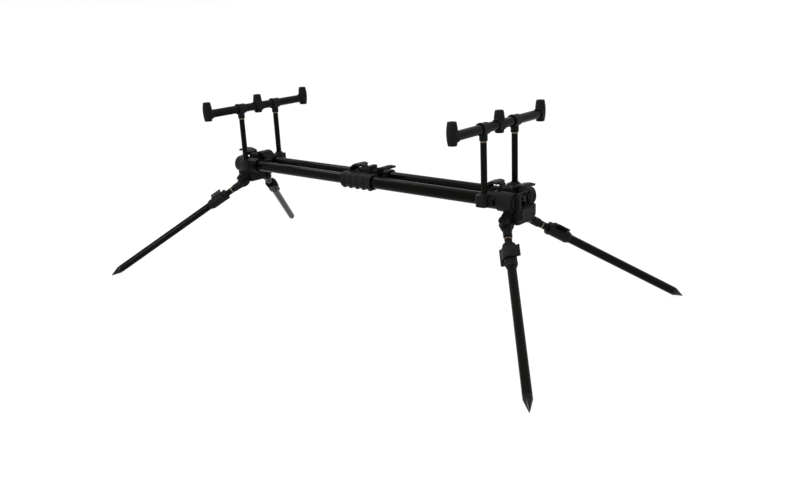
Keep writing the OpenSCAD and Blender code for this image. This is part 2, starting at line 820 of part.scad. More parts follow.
uprights(-1);  // left_uprights
leg_button(1, -1);  // right_front_button
leg_knuckle(1, -1);  // right_front_knuckle
leg_upper_tube(1, -1);  // right_front_upper_tube
leg_lower_tube(1, -1);  // right_front_lower_tube
leg_collar(1, -1);  // right_front_collar
leg_lever(1, -1);  // right_front_lever
leg_spike(1, -1);  // right_front_spike
leg_button(1, 1);  // right_rear_button
leg_knuckle(1, 1);  // right_rear_knuckle
leg_upper_tube(1, 1);  // right_rear_upper_tube
leg_lower_tube(1, 1);  // right_rear_lower_tube
leg_collar(1, 1);  // right_rear_collar
leg_lever(1, 1);  // right_rear_lever
leg_spike(1, 1);  // right_rear_spike
leg_button(-1, -1);  // left_front_button
leg_knuckle(-1, -1);  // left_front_knuckle
leg_upper_tube(-1, -1);  // left_front_upper_tube
leg_lower_tube(-1, -1);  // left_front_lower_tube
leg_collar(-1, -1);  // left_front_collar
leg_lever(-1, -1);  // left_front_lever
leg_spike(-1, -1);  // left_front_spike
leg_button(-1, 1);  // left_rear_button
leg_knuckle(-1, 1);  // left_rear_knuckle
leg_upper_tube(-1, 1);  // left_rear_upper_tube
leg_lower_tube(-1, 1);  // left_rear_lower_tube
leg_collar(-1, 1);  // left_rear_collar
leg_lever(-1, 1);  // left_rear_lever
leg_spike(-1, 1);  // left_rear_spike
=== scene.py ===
import json
import math

import bmesh
import bpy
from mathutils import Matrix, Vector

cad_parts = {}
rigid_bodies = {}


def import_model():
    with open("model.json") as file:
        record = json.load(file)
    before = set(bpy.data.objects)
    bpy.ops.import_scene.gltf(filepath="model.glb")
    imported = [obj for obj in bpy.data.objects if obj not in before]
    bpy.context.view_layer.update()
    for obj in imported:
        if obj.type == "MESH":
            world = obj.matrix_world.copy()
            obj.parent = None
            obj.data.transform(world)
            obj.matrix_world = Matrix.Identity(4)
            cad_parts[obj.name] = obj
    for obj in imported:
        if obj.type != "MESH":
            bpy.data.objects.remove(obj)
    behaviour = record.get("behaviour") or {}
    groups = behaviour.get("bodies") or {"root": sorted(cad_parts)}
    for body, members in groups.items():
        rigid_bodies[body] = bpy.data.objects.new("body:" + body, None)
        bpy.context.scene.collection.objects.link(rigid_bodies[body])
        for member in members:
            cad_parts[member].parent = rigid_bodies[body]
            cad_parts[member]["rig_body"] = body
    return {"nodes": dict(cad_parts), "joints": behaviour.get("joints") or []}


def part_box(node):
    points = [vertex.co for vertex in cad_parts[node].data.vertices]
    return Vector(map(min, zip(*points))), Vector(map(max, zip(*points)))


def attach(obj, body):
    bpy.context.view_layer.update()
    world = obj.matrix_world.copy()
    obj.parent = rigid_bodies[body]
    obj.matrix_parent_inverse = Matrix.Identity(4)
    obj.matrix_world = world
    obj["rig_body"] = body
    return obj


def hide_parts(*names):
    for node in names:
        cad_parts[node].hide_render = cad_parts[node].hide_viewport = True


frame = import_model()
nodes = frame["nodes"]
joints = {joint["name"]: joint for joint in frame["joints"]}
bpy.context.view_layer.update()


# Body tubes: two drawn aluminium tubes that slide in two wider ones.
# They are cut square, deburred and anodised satin black; drawing leaves fine streaks along them.
STREAK_STRETCH = 60.0
PATCH_DETAIL = 4.0
GRAIN_DETAIL = 2.0
NOISE_LOW = 0.3
NOISE_HIGH = 0.7


def finish(name, dark, light, patch, grain, relief, rough, axis=None):
    """A material that drifts between two colours and two roughnesses, with a fine grain.
    patch and grain are sizes in metres; axis is the way in which both are drawn out long."""
    material = bpy.data.materials.new(name)
    material.use_nodes = True
    tree = material.node_tree
    shader = tree.nodes["Principled BSDF"]
    coordinates = tree.nodes.new("ShaderNodeTexCoord")

    def noise(size, detail):
        mapping = tree.nodes.new("ShaderNodeMapping")
        mapping.vector_type = "TEXTURE"
        mapping.inputs["Scale"].default_value = (size, size, size)
        if axis is not None:
            mapping.inputs["Scale"].default_value = (size, size, size * STREAK_STRETCH)
            turn = Vector(axis).to_track_quat("Z", "Y")
            mapping.inputs["Rotation"].default_value = turn.to_euler()
        texture = tree.nodes.new("ShaderNodeTexNoise")
        texture.inputs["Scale"].default_value = 1.0
        texture.inputs["Detail"].default_value = detail
        tree.links.new(coordinates.outputs["Object"], mapping.inputs["Vector"])
        tree.links.new(mapping.outputs["Vector"], texture.inputs["Vector"])
        return texture

    patches = noise(patch, PATCH_DETAIL)
    colours = tree.nodes.new("ShaderNodeValToRGB")
    colours.color_ramp.elements[0].position = NOISE_LOW
    colours.color_ramp.elements[0].color = (*dark, 1.0)
    colours.color_ramp.elements[1].position = NOISE_HIGH
    colours.color_ramp.elements[1].color = (*light, 1.0)
    tree.links.new(patches.outputs["Fac"], colours.inputs["Fac"])
    tree.links.new(colours.outputs["Color"], shader.inputs["Base Color"])

    grains = noise(grain, GRAIN_DETAIL)
    gloss = tree.nodes.new("ShaderNodeMapRange")
    gloss.inputs["From Min"].default_value = NOISE_LOW
    gloss.inputs["From Max"].default_value = NOISE_HIGH
    gloss.inputs["To Min"].default_value = rough[0]
    gloss.inputs["To Max"].default_value = rough[1]
    tree.links.new(grains.outputs["Fac"], gloss.inputs["Value"])
    tree.links.new(gloss.outputs["Result"], shader.inputs["Roughness"])
    bump = tree.nodes.new("ShaderNodeBump")
    bump.inputs["Strength"].default_value = relief
    bump.inputs["Distance"].default_value = grain
    tree.links.new(grains.outputs["Fac"], bump.inputs["Height"])
    tree.links.new(bump.outputs["Normal"], shader.inputs["Normal"])
    return material


ANODISED_DARK = (0.0007, 0.00066, 0.00052)
ANODISED_LIGHT = (0.0024, 0.0022, 0.0017)
ANODISED_SHINE = 0.06
ANODISED_TINT = (1.0, 0.97, 0.90, 1.0)


def anodised(name, axis, dark=ANODISED_DARK, light=ANODISED_LIGHT):
    """Satin black anodised aluminium with a warm cast, drawn along an axis."""
    material = finish(name, dark, light, patch=0.012, grain=0.0006,
                      relief=0.04, rough=(0.20, 0.28), axis=axis)
    shader = material.node_tree.nodes["Principled BSDF"]
    shader.inputs["Specular IOR Level"].default_value = ANODISED_SHINE
    shader.inputs["Specular Tint"].default_value = ANODISED_TINT
    return material


SPIN_MERGE = 1e-7


def turned(profile, start, axis, steps=72):
    """A closed ring or body turned on a lathe.
    profile holds (distance along the axis, radius) pairs, and closes on itself."""
    shape = bmesh.new()
    points = [shape.verts.new((radius, 0, along)) for along, radius in profile]
    lines = [shape.edges.new((a, b)) for a, b in zip(points, points[1:] + points[:1])]
    bmesh.ops.spin(shape, geom=points + lines, cent=(0, 0, 0), axis=(0, 0, 1),
                   angle=2 * math.pi, steps=steps, use_merge=True)
    bmesh.ops.remove_doubles(shape, verts=shape.verts, dist=SPIN_MERGE)
    loose = [edge for edge in shape.edges if not edge.link_faces]
    bmesh.ops.delete(shape, geom=loose, context="EDGES")
    bmesh.ops.recalc_face_normals(shape, faces=shape.faces)
    turn = Vector(axis).to_track_quat("Z", "Y").to_matrix().to_4x4()
    bmesh.ops.transform(shape, matrix=Matrix.Translation(start) @ turn, verts=shape.verts)
    return shape


def joined(shapes):
    """One shape that holds several loose ones."""
    whole = bmesh.new()
    for shape in shapes:
        mesh = bpy.data.meshes.new("loose")
        shape.to_mesh(mesh)
        shape.free()
        whole.from_mesh(mesh)
        bpy.data.meshes.remove(mesh)
    return whole


SHARP_FROM = math.radians(35)


def place(shape, name, material, body):
    """Makes a finished shape a piece of the object."""
    mesh = bpy.data.meshes.new(name)
    shape.to_mesh(mesh)
    shape.free()
    mesh.shade_smooth()
    mesh.set_sharp_from_angle(angle=SHARP_FROM)
    mesh.materials.append(material)
    piece = bpy.data.objects.new(name, mesh)
    bpy.context.scene.collection.objects.link(piece)
    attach(piece, body)
    return piece


DEBURR = 0.0004


def tube(start, axis, length, outer, wall):
    """A drawn tube, cut square, with its four sharp rims taken off."""
    inner = outer - wall
    profile = [(0, inner + DEBURR), (0, outer - DEBURR), (DEBURR, outer),
               (length - DEBURR, outer), (length, outer - DEBURR),
               (length, inner + DEBURR), (length - DEBURR, inner), (DEBURR, inner)]
    return turned(profile, start, axis)


BODY_WALL = 0.0012
body_finish = anodised("body_tube_anodising", (1, 0, 0))
for name in ("outer_tubes", "inner_tubes"):
    low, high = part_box(name)
    radius = (high.z - low.z) / 2
    pair = joined([tube((low.x, way * (high.y - radius), low.z + radius), (1, 0, 0),
                        high.x - low.x, radius, BODY_WALL) for way in (-1, 1)])
    piece = place(pair, name + "_drawn", body_finish, nodes[name]["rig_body"])
    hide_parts(name)


# Moulded castings: the clamp in the middle, the two upright brackets and the two leg blocks.
# They are glass filled nylon, with a fine spark texture and edges that the mould rounds.
PLASTIC_DARK = (0.0058, 0.0061, 0.0068)
PLASTIC_LIGHT = (0.0110, 0.0114, 0.0124)
PLASTIC_SHINE = 0.09
# Wear runs between two values of Pointiness, which is above 0.5 on an edge that stands out.
WEAR_FROM = 0.52
WEAR_TO = 0.62
WEAR_SHARE = 0.5
WEAR_PALER = 2.6


def moulded(name, dark=PLASTIC_DARK, light=PLASTIC_LIGHT, rough=(0.42, 0.58)):
    """Charcoal plastic with a fine moulded grain, worn paler where its edges stand out."""
    material = finish(name, dark, light, patch=0.02, grain=0.0007, relief=0.22, rough=rough)
    tree = material.node_tree
    shader = tree.nodes["Principled BSDF"]
    shader.inputs["Specular IOR Level"].default_value = PLASTIC_SHINE
    base = shader.inputs["Base Color"].links[0].from_socket
    geometry = tree.nodes.new("ShaderNodeNewGeometry")
    edges = tree.nodes.new("ShaderNodeMapRange")
    edges.inputs["From Min"].default_value = WEAR_FROM
    edges.inputs["From Max"].default_value = WEAR_TO
    edges.inputs["To Max"].default_value = WEAR_SHARE
    worn = tree.nodes.new("ShaderNodeMix")
    worn.data_type = "RGBA"
    worn.inputs["B"].default_value = (*[WEAR_PALER * channel for channel in light], 1.0)
    tree.links.new(geometry.outputs["Pointiness"], edges.inputs["Value"])
    tree.links.new(edges.outputs["Result"], worn.inputs["Factor"])
    tree.links.new(base, worn.inputs["A"])
    tree.links.new(worn.outputs["Result"], shader.inputs["Base Color"])
    return material


NODE_MERGE = 1e-6
SMOOTH_SHARE = 0.5
SMOOTH_PASSES = 3
KEPT_FACES = 0.35


def softened(node, material, cell):
    """A copy of a CAD node with the edges rounded, which stands for that node.
    cell is the size of the grid that rounds it."""
    mesh = nodes[node].data.copy()
    shape = bmesh.new()
    shape.from_mesh(mesh)
    bmesh.ops.remove_doubles(shape, verts=shape.verts, dist=NODE_MERGE)
    shape.to_mesh(mesh)
    shape.free()
    mesh.materials.clear()
    mesh.materials.append(material)
    piece = bpy.data.objects.new(node + "_moulding", mesh)
    bpy.context.scene.collection.objects.link(piece)
    grid = piece.modifiers.new("grid", "REMESH")
    grid.mode = "VOXEL"
    grid.voxel_size = cell
    grid.use_smooth_shade = True
    soft = piece.modifiers.new("soft", "SMOOTH")
    soft.factor = SMOOTH_SHARE
    soft.iterations = SMOOTH_PASSES
    fewer = piece.modifiers.new("fewer", "DECIMATE")
    fewer.ratio = KEPT_FACES
    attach(piece, nodes[node]["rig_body"])
    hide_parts(node)
    return piece


CASTING_CELL = 0.0008
casting_finish = moulded("casting_nylon")
for name in ("centre_clamp", "right_upright_bracket", "left_upright_bracket",
             "right_leg_block", "left_leg_block"):
    softened(name, casting_finish, CASTING_CELL)

ROUND_STEPS = 3


def grip_bar(middle, axis, half, radius):
    """A half buried moulded bar with rounded ends."""
    leans = [math.pi / 2 * step / ROUND_STEPS for step in range(ROUND_STEPS + 1)]
    round_end = [(radius * (1 - math.cos(lean)), radius * math.sin(lean)) for lean in leans]
    profile = round_end + [(2 * half - along, across) for along, across in reversed(round_end)]
    return turned(profile, Vector(middle) - half * Vector(axis), axis, steps=32)


# Five lobes under each tube ridge the clamp's lower face.
LOBE_R = 0.006
LOBE_PROUD = 0.0016
LOBE_HALF = 0.0155
LOBES = 5
low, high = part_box("centre_clamp")
tube_low, tube_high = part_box("outer_tubes")
tube_y = tube_high.y - (tube_high.z - tube_low.z) / 2
tube_z = (tube_low.z + tube_high.z) / 2
pitch = (high.x - low.x - 2 * LOBE_R) / (LOBES - 1)
lobes = [grip_bar((low.x + LOBE_R + number * pitch, way * tube_y, low.z + LOBE_R - LOBE_PROUD),
                  (0, 1, 0), LOBE_HALF, LOBE_R) for number in range(LOBES) for way in (-1, 1)]
place(joined(lobes), "centre_clamp_lobes", casting_finish, nodes["centre_clamp"]["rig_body"])


# Cam levers: finger levers on steel pins that squeeze the castings on their tubes and uprights.
# Each is one nylon moulding with grip bars near its tip; the pins are pressed in the ears.
LEVER_CELL = 0.0005
BAR_HALF = 0.0135
BAR_R = 0.0008
# The upper face of a lever is an arc, with its centre (out, up) from the pin.
# The bars lie on it at these degrees from its highest point.
ARCH_R = 0.026
ARCH_CENTRE = (0.019, -0.008)
ARCH_BARS = (24, 31, 38, 45)
TAIL_R = 0.058
TAIL_CENTRE = (0.034, -0.040)
TAIL_BARS = (1.5, 4.5, 7.5, 10.5)
lever_finish = moulded("lever_nylon", rough=(0.36, 0.5))
for name in ("centre_inner_lever", "centre_outer_lever", "right_bracket_lever", "right_block_lever",
             "left_bracket_lever", "left_block_lever"):
    softened(name, lever_finish, LEVER_CELL)
    hinge = joints[name + "_hinge"]
    pivot = Vector(hinge["pos_m"])
    way = -hinge["axis"][1]
    reach, centre, leans = TAIL_R, TAIL_CENTRE, TAIL_BARS
    if name == "centre_inner_lever" or "bracket" in name:
        reach, centre, leans = ARCH_R, ARCH_CENTRE, ARCH_BARS
    bars = []
    for lean in leans:
        out = centre[0] + reach * math.sin(math.radians(lean))
        rise = centre[1] + reach * math.cos(math.radians(lean))
        bars.append(grip_bar(pivot + Vector((way * out, 0, rise)), (0, 1, 0), BAR_HALF, BAR_R))
    place(joined(bars), name + "_grip_bars", lever_finish, name)


def bare_metal(name, dark, light, patch, rough, grain=0.0003, relief=0.03, metallic=1.0):
    """Turned metal, whose colour tints what it reflects."""
    material = finish(name, dark, light, patch, grain, relief, rough)
    material.node_tree.nodes["Principled BSDF"].inputs["Metallic"].default_value = metallic
    return material


STEEL_DARK = (0.012, 0.012, 0.0125)
STEEL_LIGHT = (0.03, 0.03, 0.031)
PIN_R = 0.003
PIN_BEVEL = 0.0005
steel_finish = bare_metal("blackened_steel", STEEL_DARK, STEEL_LIGHT, patch=0.004, rough=(0.25, 0.38),
                          grain=0.0004, relief=0.05, metallic=0.9)
for name, levers in (("centre_lever_pins", ("centre_inner_lever", "centre_outer_lever")),
                     ("right_lever_pins", ("right_bracket_lever", "right_block_lever")),
                     ("left_lever_pins", ("left_bracket_lever", "left_block_lever"))):
    low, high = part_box(name)
    long = high.y - low.y
    profile = [(0, 0), (0, PIN_R - PIN_BEVEL), (PIN_BEVEL, PIN_R), (long - PIN_BEVEL, PIN_R),
               (long, PIN_R - PIN_BEVEL), (long, 0)]
    pins = []
    for lever in levers:
        pivot = joints[lever + "_hinge"]["pos_m"]
        pins.append(turned(profile, (pivot[0], low.y, pivot[2]), (0, 1, 0), steps=40))
    piece = place(joined(pins), name + "_turned", steel_finish, nodes[name]["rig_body"])
    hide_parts(name)


# End covers: caps that close the tubes and a post with a plate over the leg lock, one nylon moulding.
# The end of one barrel stays open to view and has turned rings; four socket head screws of
# blackened steel hold the plate, and a larger one closes the web between the barrels.
COVER_CELL = 0.0005
cover_finish = moulded("cover_nylon", rough=(0.38, 0.52))

# Shares of the head's radius, of its height, of the socket's radius and of the shank's radius.
SOCKET_SHARE = 0.43
SOCKET_DEPTH = 0.7
HEX_INSIDE = 0.97
HEX_OUTSIDE = 1.2
SHANK_TIP = 0.8


def socket_screw(tip, axis, length, shank_r, head_r):
    """A screw with a round head that has a six sided socket, its tip first."""
    head_h = head_r / 2
    edge = head_h / 4
    shank = length - head_h
    socket_r = SOCKET_SHARE * head_r
    socket_floor = length - SOCKET_DEPTH * head_h
    body = turned([(0, 0), (0, SHANK_TIP * shank_r), (shank_r / 3, shank_r), (shank, shank_r),
                   (shank, head_r), (length - edge, head_r), (length, head_r - edge),
                   (length, socket_r), (socket_floor, socket_r), (socket_floor, 0)], tip, axis, steps=36)
    top = length - edge / 5
    inside = HEX_INSIDE * socket_r
    outside = HEX_OUTSIDE * socket_r
    hexagon = turned([(socket_floor, inside), (socket_floor, outside), (top, outside), (top, inside)],
                     tip, axis, steps=6)
    return joined([body, hexagon])


def cut_out(piece, corner, size):
    """Takes a box out of a piece's mesh."""
    shape = bmesh.new()
    bmesh.ops.create_cube(shape, size=1.0)
    bmesh.ops.scale(shape, vec=size, verts=shape.verts)
    bmesh.ops.translate(shape, vec=corner + size / 2, verts=shape.verts)
    box_mesh = bpy.data.meshes.new("cut_box")
    shape.to_mesh(box_mesh)
    shape.free()
    box = bpy.data.objects.new("cut_box", box_mesh)
    blank = bpy.data.objects.new("cut_blank", piece.data)
    for part in (box, blank):
        bpy.context.scene.collection.objects.link(part)
    cut = blank.modifiers.new("cut", "BOOLEAN")
    cut.operation = "DIFFERENCE"
    cut.solver = "EXACT"
    cut.object = box
    bpy.context.view_layer.update()
    finished = blank.evaluated_get(bpy.context.evaluated_depsgraph_get())
    piece.data = bpy.data.meshes.new_from_object(finished)
    for part in (box, blank):
        bpy.data.objects.remove(part)
    bpy.data.meshes.remove(box_mesh)


# The frame is cut away above the plate, from the post to the open barrel's side.
BEZEL_HALF = 0.033
POST_WIDTH = 0.0065
PLATE_LIP = 0.0295
CUT_CLEAR = 0.0002
CUT_DEEP = 0.02
COVER_SCREW_R = 0.0015
COVER_SCREW_HEAD_R = 0.003
WEB_SUNK = 0.003
WEB_SCREW_HEAD_R = 0.0045
WEB_SCREW_LONG = 0.012
WEB_SCREW_ASIDE = 0.004
WEB_SCREW_ABOVE = 0.003
CAP_RINGS = (0.0062, 0.0090, 0.0118, 0.0146)
CAP_RING_HALF = 0.0007
CAP_RING_PROUD = 0.0012
CAP_RING_SUNK = 0.0004
for side, way in (("right", 1), ("left", -1)):
    body = nodes[side + "_end_covers"]["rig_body"]
    covers = softened(side + "_end_covers", cover_finish, COVER_CELL)
    block_low, block_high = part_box(side + "_leg_block")
    cover_low, cover_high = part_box(side + "_end_covers")
    cap_face = (block_high.x if way > 0 else block_low.x) + way * CUT_CLEAR
    room = Vector((CUT_DEEP, cover_high.y - cover_low.y, cover_high.z - cover_low.z))
    post_side = BEZEL_HALF - POST_WIDTH
    open_from = Vector((cap_face, -post_side, cover_low.z + PLATE_LIP))
    if way < 0:
        open_from.x = cap_face - room.x
        open_from.y = post_side - room.y
    cut_out(covers, open_from, room)

    low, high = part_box(side + "_cover_screws")
    tip = low.x if way > 0 else high.x
    screws = [socket_screw((tip, y, z), (way, 0, 0), high.x - low.x, COVER_SCREW_R, COVER_SCREW_HEAD_R)
              for y in (low.y + COVER_SCREW_HEAD_R, high.y - COVER_SCREW_HEAD_R)
              for z in (low.z + COVER_SCREW_HEAD_R, high.z - COVER_SCREW_HEAD_R)]
    piece = place(joined(screws), side + "_socket_screws", steel_finish, body)
    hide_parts(side + "_cover_screws")

    web_face = way * (abs(cap_face) - WEB_SUNK)
    web_tip = (web_face - way * WEB_SCREW_LONG / 2, -way * WEB_SCREW_ASIDE, tube_z + WEB_SCREW_ABOVE)
    place(socket_screw(web_tip, (way, 0, 0), WEB_SCREW_LONG, WEB_SCREW_HEAD_R / 2, WEB_SCREW_HEAD_R),
          side + "_web_screw", steel_finish, body)
    ring_foot = (cap_face - way * CAP_RING_SUNK, way * tube_y, tube_z)
    rings = [turned([(0, at - CAP_RING_HALF), (CAP_RING_PROUD, at - CAP_RING_HALF / 2),
                     (CAP_RING_PROUD, at + CAP_RING_HALF / 2), (0, at + CAP_RING_HALF)],
                    ring_foot, (way, 0, 0)) for at in CAP_RINGS]
    place(joined(rings), side + "_cap_rings", cover_finish, body)


# Legs: a moulded knuckle turns on a hexagon bolt and holds the upper tube; the lower tube slides over
# it and is locked by a collar with a flip lever. A turned steel spike closes the foot, and a button
# in the boss above the knuckle frees the leg's angle.
LEG_CELL = 0.0005
LEG_WALL = 0.0014
LEG_DARK = (0.0030, 0.0026, 0.0021)
LEG_LIGHT = (0.0068, 0.0058, 0.0046)
leg_finish = moulded("leg_nylon")

# Places along a leg are measured from the pivot of its fold.
UPPER_R = 0.00825
UPPER_FROM = 0.020
UPPER_LONG = 0.320
LOWER_R = 0.00975
LOWER_FROM = 0.062
LOWER_TO = 0.418
COLLAR_R = 0.0135
COLLAR_RIDGES = (0.1068, 0.1085)
COLLAR_RIDGE_WIDTH = 0.0009
CUFF_R = 0.01425
CUFF_RIDGES = (0.0592, 0.0616, 0.0640)
CUFF_RIDGE_WIDTH = 0.0011
RING_AT = 0.0405
RING_WIDTH = 0.0021
RING_PROUD = 0.0003
RING_EDGE = 0.4
BRONZE_DARK = (0.15, 0.12, 0.083)
BRONZE_LIGHT = (0.26, 0.213, 0.157)
bronze_finish = bare_metal("bronze_ring", BRONZE_DARK, BRONZE_LIGHT, patch=0.003, rough=(0.28, 0.4))


def ring(start, axis, radius, width, proud):
    """A thin trim ring that sits on a tube."""
    edge = RING_EDGE * proud
    top = radius + proud
    return turned([(0, radius - proud), (0, top - edge), (edge, top), (width - edge, top),
                   (width, top - edge), (width, radius - proud)], start, axis)


# Places on the bolt and the button are measured along the fold's axis, upwards from its pivot.
BOLT_R = 0.005
BOLT_BEVEL = 0.0005
BOLT_HEAD_R = 0.009
BOLT_HEAD_FACE = 0.86
BOLT_HEAD_BEVEL = 0.0006
BOLT_HEAD = (-0.0108, -0.0081)
BOLT_SEAT = -0.0073
BOLT_END = 0.0120
WASHER_EDGE = 0.0003
WASHER_RISE = 0.0002


def hexagon_bolt(pivot, up):
    """A six sided head, and a round shank with a washer face."""
    under, over = BOLT_HEAD
    head = [(under, 0), (under, BOLT_HEAD_FACE * BOLT_HEAD_R), (under + BOLT_HEAD_BEVEL, BOLT_HEAD_R),
            (over, BOLT_HEAD_R), (over, 0)]
    shank = [(over, 0), (over, BOLT_HEAD_R - WASHER_EDGE), (over + WASHER_RISE, BOLT_HEAD_R),
             (BOLT_SEAT - WASHER_RISE, BOLT_HEAD_R), (BOLT_SEAT, BOLT_HEAD_R - WASHER_EDGE),
             (BOLT_SEAT, BOLT_R), (BOLT_END - BOLT_BEVEL, BOLT_R), (BOLT_END, BOLT_R - BOLT_BEVEL),
             (BOLT_END, 0)]
    return joined([turned(head, pivot, up, steps=6), turned(shank, pivot, up)])


BUTTON_R = 0.005
BUTTON = (0.0163, 0.0238)
BUTTON_BEVEL = 0.0004
BUTTON_CROWN = 0.0014
BUTTON_RIM = 0.0012
DISH_R = 0.0016
DISH_DEEP = 0.0005
BUTTON_DARK = (0.004, 0.004, 0.0045)
BUTTON_LIGHT = (0.007, 0.007, 0.0078)
button_finish = moulded("button_nylon", BUTTON_DARK, BUTTON_LIGHT)


def dished_button(pivot, up):
    """A round button with a crowned rim and a hollow for the fingertip."""
    foot, top = BUTTON
    cap = [(foot, 0), (foot, BUTTON_R - BUTTON_BEVEL), (foot + BUTTON_BEVEL, BUTTON_R),
           (top - BUTTON_CROWN, BUTTON_R), (top - DISH_DEEP, BUTTON_R - BUTTON_RIM / 4),
           (top, BUTTON_R - BUTTON_RIM), (top - DISH_DEEP / 5, BUTTON_R - 1.5 * BUTTON_RIM),
           (top - DISH_DEEP, DISH_R), (top - 1.2 * DISH_DEEP, 0)]
    return turned(cap, pivot, up)


# Places on the spike are measured from the end of the lower tube, which its plug fits in.
PLUG_LONG = 0.018
PLUG_FIT = 0.00003
PLUG_R = LOWER_R - LEG_WALL - PLUG_FIT
PLUG_BEVEL = 0.001
SHOULDER_TO = 0.0030
WIDE_GROOVE = 0.0009
WIDE_FLOOR = (0.0035, 0.0050)
LAND = 0.0002
LAND_FROM = 0.0055
FINE_GROOVE = 0.0006
FINE_FLOOR = (0.0070, 0.0074)
FINE_SLOPE = 0.0002
CONE_FROM = 0.008
SPIKE_LONG = 0.034
SPIKE_EDGE = 0.0003
TIP_LONG = 0.0012
TIP_R = 0.0006
TIP_NECK_R = 1.8 * TIP_R
TIP_END_R = 0.4 * TIP_R
SPIKE_DARK = (0.012, 0.012, 0.013)
SPIKE_LIGHT = (0.028, 0.028, 0.029)
spike_finish = bare_metal("turned_spike_steel", SPIKE_DARK, SPIKE_LIGHT, patch=0.01, rough=(0.14, 0.22))


def turned_spike(foot, along):
    """A plug, a shoulder with a wide and a fine groove below it, and a cone with a blunted tip."""
    plug = [(-PLUG_LONG, 0), (-PLUG_LONG, PLUG_R - PLUG_BEVEL), (PLUG_BEVEL - PLUG_LONG, PLUG_R),
            (0, PLUG_R)]
    shoulder = [(0, LOWER_R - SPIKE_EDGE), (SPIKE_EDGE, LOWER_R), (SHOULDER_TO - SPIKE_EDGE, LOWER_R),
                (SHOULDER_TO, LOWER_R - SPIKE_EDGE)]
    wide = [(at, LOWER_R - WIDE_GROOVE) for at in WIDE_FLOOR]
    land = [(LAND_FROM, LOWER_R - LAND), (FINE_FLOOR[0] - FINE_SLOPE, LOWER_R - LAND)]
    fine = [(at, LOWER_R - FINE_GROOVE) for at in FINE_FLOOR]
    cone = [(FINE_FLOOR[1] + FINE_SLOPE, LOWER_R - LAND), (CONE_FROM, LOWER_R - SPIKE_EDGE)]
    tip = [(SPIKE_LONG - TIP_LONG, TIP_NECK_R), (SPIKE_LONG - TIP_LONG / 4, TIP_R),
           (SPIKE_LONG, TIP_END_R), (SPIKE_LONG, 0)]
    return turned(plug + shoulder + wide + land + fine + cone + tip, foot, along)


for side in ("right", "left"):
    bolts = []
    for row in ("front", "rear"):
        leg = side + "_" + row
        pivot = Vector(joints[leg + "_leg_fold"]["pos_m"])
        along = Vector(joints[leg + "_foot_extension"]["axis"])
        up = Vector(joints[leg + "_leg_fold"]["axis"])
        up = up if up.z > 0 else -up

        bolts.append(hexagon_bolt(pivot, up))
        piece = place(dished_button(pivot, up), leg + "_dished_button", button_finish,
                      leg + "_button")
        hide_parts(leg + "_button")

        tube_finish = anodised(leg + "_leg_anodising", along, LEG_DARK, LEG_LIGHT)
        piece = place(tube(pivot + UPPER_FROM * along, along, UPPER_LONG, UPPER_R, LEG_WALL),
                      leg + "_upper_drawn", tube_finish, leg + "_leg")
        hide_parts(leg + "_upper_tube")
        piece = place(tube(pivot + LOWER_FROM * along, along, LOWER_TO - LOWER_FROM, LOWER_R, LEG_WALL),
                      leg + "_lower_drawn", tube_finish, leg + "_foot")
        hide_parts(leg + "_lower_tube")
        place(ring(pivot + RING_AT * along, along, UPPER_R, RING_WIDTH, RING_PROUD),
              leg + "_bronze_ring", bronze_finish, leg + "_leg")

        softened(leg + "_knuckle", leg_finish, LEG_CELL)
        softened(leg + "_collar", leg_finish, LEG_CELL)
        softened(leg + "_lever", lever_finish, LEG_CELL)
        ridges = [ring(pivot + at * along, along, COLLAR_R, COLLAR_RIDGE_WIDTH, RING_PROUD)
                  for at in COLLAR_RIDGES]
        ridges += [ring(pivot + at * along, along, CUFF_R, CUFF_RIDGE_WIDTH, RING_PROUD)
                   for at in CUFF_RIDGES]
        place(joined(ridges), leg + "_collar_ridges", leg_finish, leg + "_foot")

        piece = place(turned_spike(pivot + LOWER_TO * along, along), leg + "_turned_spike", spike_finish,
                      leg + "_foot")
        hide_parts(leg + "_spike")
    piece = place(joined(bolts), side + "_hexagon_bolts", steel_finish,
                  nodes[side + "_leg_bolts"]["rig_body"])
    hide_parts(side + "_leg_bolts")


# Rod bars: a cross tube on two uprights, with three moulded bosses that take the alarms.
# The bosses are soft touch mouldings round brass threads; tees hold the uprights, and a thin bronze
# ring trims each upright below its tee.
BAR_CELL = 0.0006
BAR_WALL = 0.0015
BAR_DARK = (0.0046, 0.0038, 0.0034)
BAR_LIGHT = (0.0100, 0.0082, 0.0073)
UPRIGHT_DARK = (0.0024, 0.0020, 0.0015)
UPRIGHT_LIGHT = (0.0052, 0.0043, 0.0032)
TRIM_BELOW = 0.0026
BOSS_RIM_R = 0.0095
BOSS_RIM_WIDTH = 0.0012
RUBBER_DARK = (0.0064, 0.0067, 0.0077)
RUBBER_LIGHT = (0.0108, 0.0112, 0.0126)
BRASS_DARK = (0.035, 0.025, 0.012)
BRASS_LIGHT = (0.075, 0.055, 0.028)
bar_finish = anodised("bar_tube_anodising", (0, 1, 0), BAR_DARK, BAR_LIGHT)
upright_finish = anodised("upright_anodising", (0, 0, 1), UPRIGHT_DARK, UPRIGHT_LIGHT)
rubber_finish = moulded("boss_rubber", RUBBER_DARK, RUBBER_LIGHT, rough=(0.5, 0.66))
brass_finish = bare_metal("turned_brass", BRASS_DARK, BRASS_LIGHT, patch=0.004, rough=(0.3, 0.42))

# The ridge of the thread is narrower at its crest than at its foot, which bites in the bush.
INSERT_R = 0.006
THREAD_CREST_R = 0.0042
THREAD_FOOT_R = 0.00476
THREAD_PITCH = 0.00127
THREAD_STEPS = 32
THREAD_BITE = 0.0002
THREAD_FOOT_HALF = 0.46 * THREAD_PITCH
THREAD_CREST_HALF = 0.08 * THREAD_PITCH


